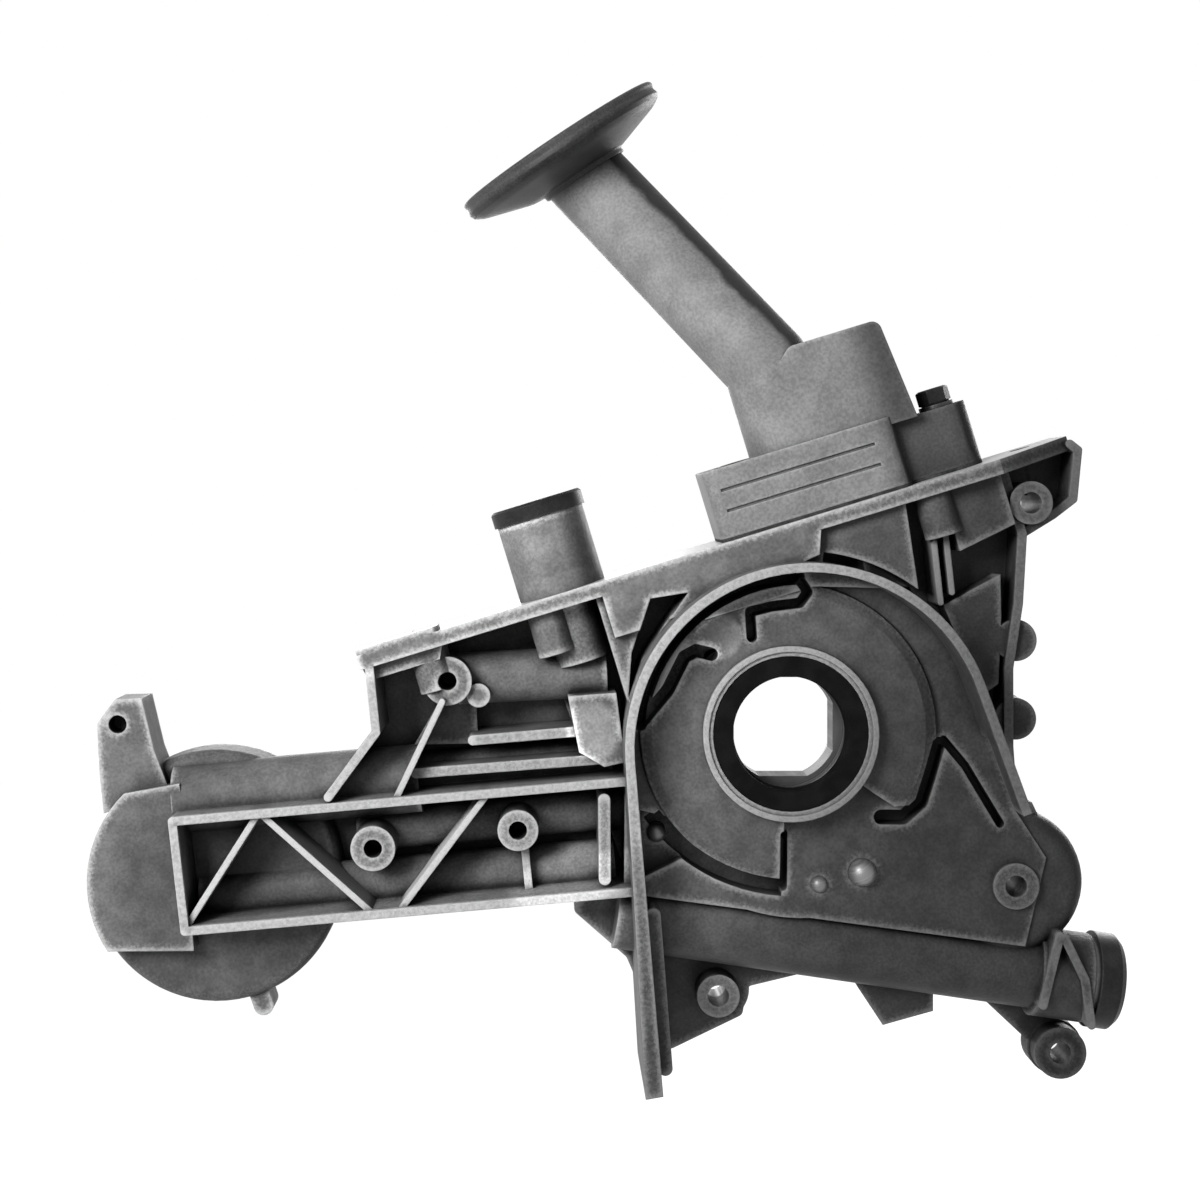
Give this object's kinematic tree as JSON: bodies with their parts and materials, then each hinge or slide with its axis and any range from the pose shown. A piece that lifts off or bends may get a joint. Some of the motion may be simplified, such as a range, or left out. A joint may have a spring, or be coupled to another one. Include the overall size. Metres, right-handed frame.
{
  "type": "engine oil pump",
  "caption": "Crank-driven engine oil pump with gerotor rotors, sump flange, relief valve, strainer suction pipe and oil filter arm",
  "frame": {"origin": "where the crank axis meets the plane of the engine block face", "axes": "+Y points back into the engine block along the crank axis, +Z points to the oil sump, so the part stands upside down against its place in the engine, and +X runs along the sump flange, away from the oil filter"},
  "size_m": [0.3341, 0.0909, 0.3387],
  "materials": {
    "cast_housing": "die-cast, grey, light edges",
    "cover_plate": "ground plate",
    "screw_steel": "blackened screws",
    "sintered_rotor": "sintered and ground",
    "seal_rubber": "matt black",
    "bright_steel": "ground, bright",
    "black_cap": "blackened",
    "soft_washer": "soft, plain",
    "cast_pipe": "die-cast, lighter",
    "gasket_fibre": "dark fibre",
    "strainer_sheet": "dark coated sheet",
    "screen_wire": "woven wire"
  },
  "bodies": {
    "pump_body": {"pump_housing": "cast_housing", "rear_cover": "cover_plate", "rear_cover_screws": "screw_steel", "crank_seal": "seal_rubber", "crank_seal_spring": "bright_steel", "relief_cap": "black_cap", "relief_cap_oring": "seal_rubber", "gallery_plug_washer": "soft_washer", "gallery_plug": "black_cap", "passage_plugs": "bright_steel", "dowel_sleeves": "bright_steel", "delivery_oring": "seal_rubber", "filter_stud": "bright_steel", "pickup_tube": "cast_pipe", "pickup_gasket": "gasket_fibre", "pickup_bolts": "black_cap", "pickup_bolt_washers": "bright_steel", "strainer_bell": "strainer_sheet", "strainer_screen": "screen_wire", "strainer_ring": "screen_wire", "relief_spring": "bright_steel"},
    "inner_rotor": {"inner_rotor": "sintered_rotor"},
    "outer_rotor": {"outer_rotor": "sintered_rotor"},
    "relief_piston": {"relief_piston": "bright_steel"}
  },
  "joints": [
    {"name": "inner_rotor_spin", "type": "hinge", "parent": "pump_body", "child": "inner_rotor", "pos_m": [0, 0, 0], "axis": [0, 1, 0], "continuous": true},
    {"name": "outer_rotor_spin", "type": "hinge", "parent": "pump_body", "child": "outer_rotor", "pos_m": [-0.003, 0, 0], "axis": [0, 1, 0], "continuous": true},
    {"name": "relief_lift", "type": "slide", "parent": "pump_body", "child": "relief_piston", "axis": [0, 0, 1], "range_m": [0, 0.008], "stiffness_N_per_m": 1500, "springref_m": -0.012, "deforming": ["relief_spring"]}
  ],
  "couplings": [
    {"joint": "inner_rotor_spin", "follows": "outer_rotor_spin", "ratio": 1.1111}
  ]
}
